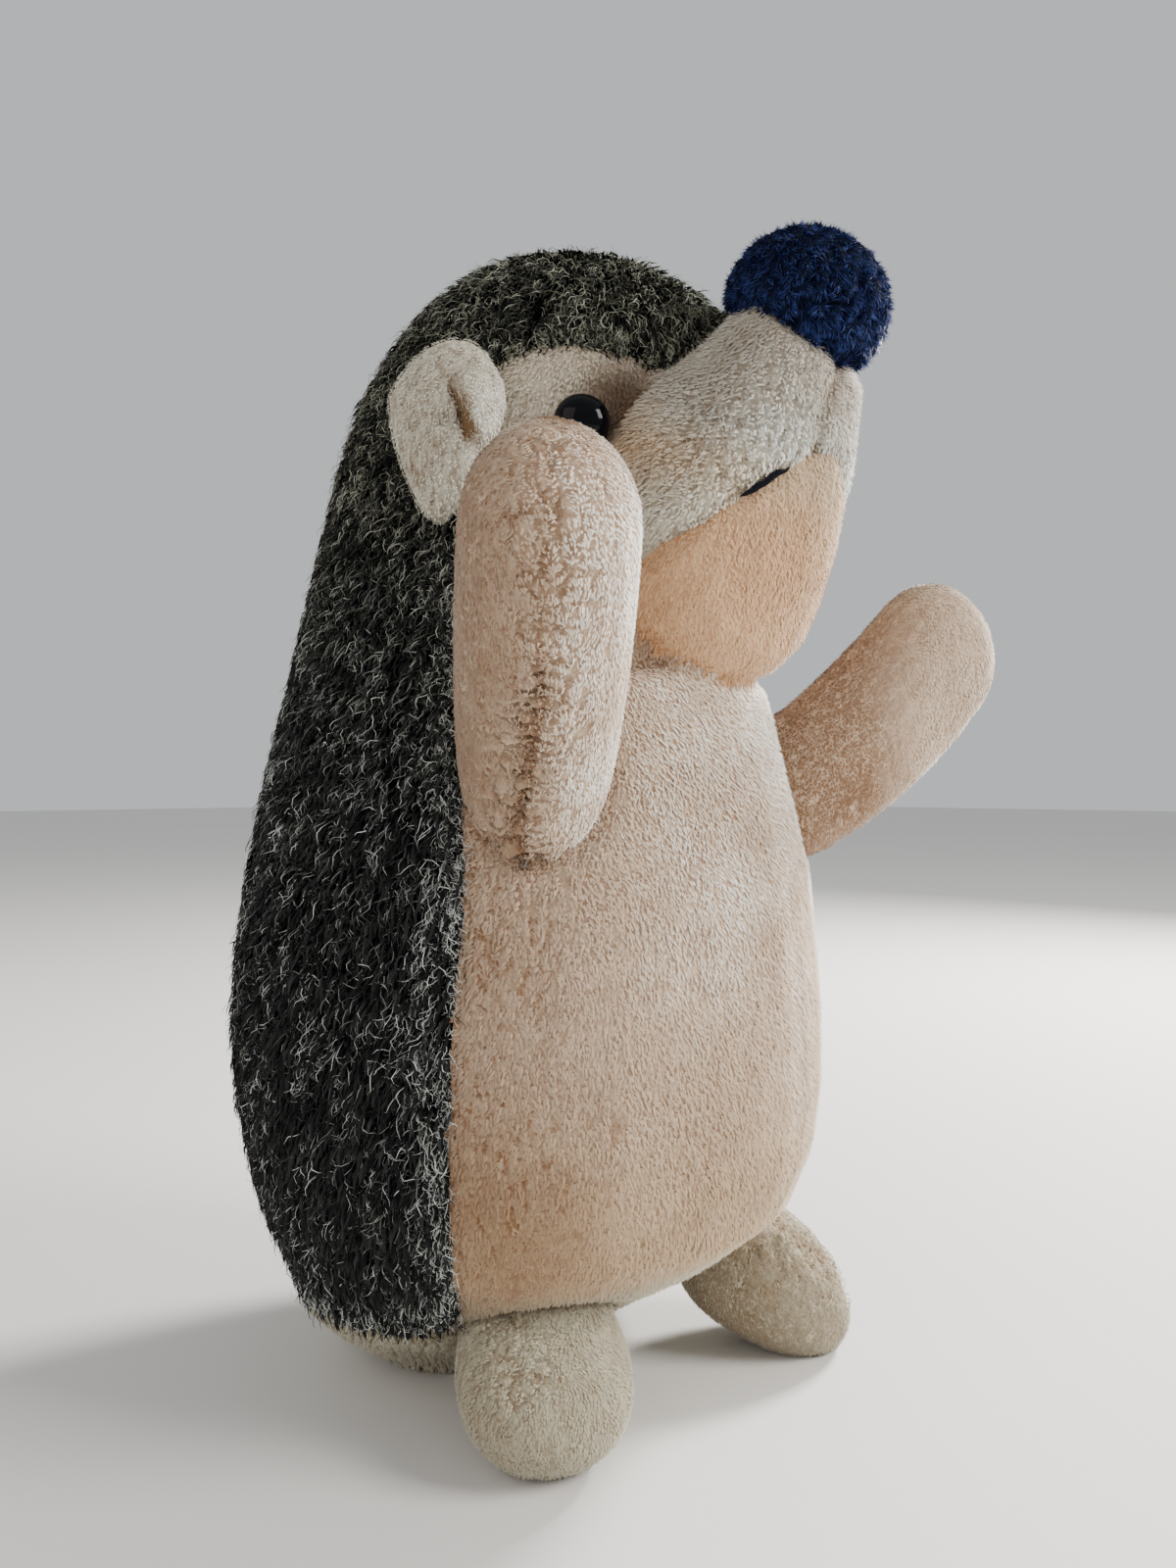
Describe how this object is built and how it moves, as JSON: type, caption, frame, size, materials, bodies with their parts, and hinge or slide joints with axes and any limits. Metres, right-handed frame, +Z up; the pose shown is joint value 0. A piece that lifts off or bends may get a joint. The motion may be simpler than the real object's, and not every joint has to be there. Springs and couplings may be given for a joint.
{
  "type": "plush toy hedgehog",
  "caption": "Stuffed plush hedgehog toy that stands upright with raised arms, a dark curly pile back, a tan front and a large navy nose.",
  "frame": {"origin": "on the floor plane under the upright axis of the body, inside the flat of the seat", "axes": "+Z up along the body, -Y the way the toy's chest faces, -X the toy's right side"},
  "size_m": [0.1659, 0.1651, 0.267],
  "materials": {
    "dark_pile": "long curly pile, black at the root and khaki at the tip",
    "tan_plush": "short dense plush, slightly matted",
    "muzzle_plush": "short dense plush, greyed tan",
    "jaw_plush": "short dense plush, peachy tan",
    "ear_plush": "short dense plush, pale cream tan",
    "nose_yarn": "navy chenille loops",
    "mouth_thread": "navy embroidery thread",
    "eye_gloss": "glossy black"
  },
  "bodies": {
    "root": {"back": "dark_pile", "hood": "dark_pile", "belly": "tan_plush", "seat": "tan_plush", "face": "tan_plush", "muzzle": "muzzle_plush", "jaw": "jaw_plush", "nose": "nose_yarn", "eye_right": "eye_gloss", "ear_right": "ear_plush", "mouth_right": "mouth_thread", "arm_right": "tan_plush", "foot_right": "tan_plush", "eye_left": "eye_gloss", "ear_left": "ear_plush", "mouth_left": "mouth_thread", "arm_left": "tan_plush", "foot_left": "tan_plush"}
  },
  "joints": []
}
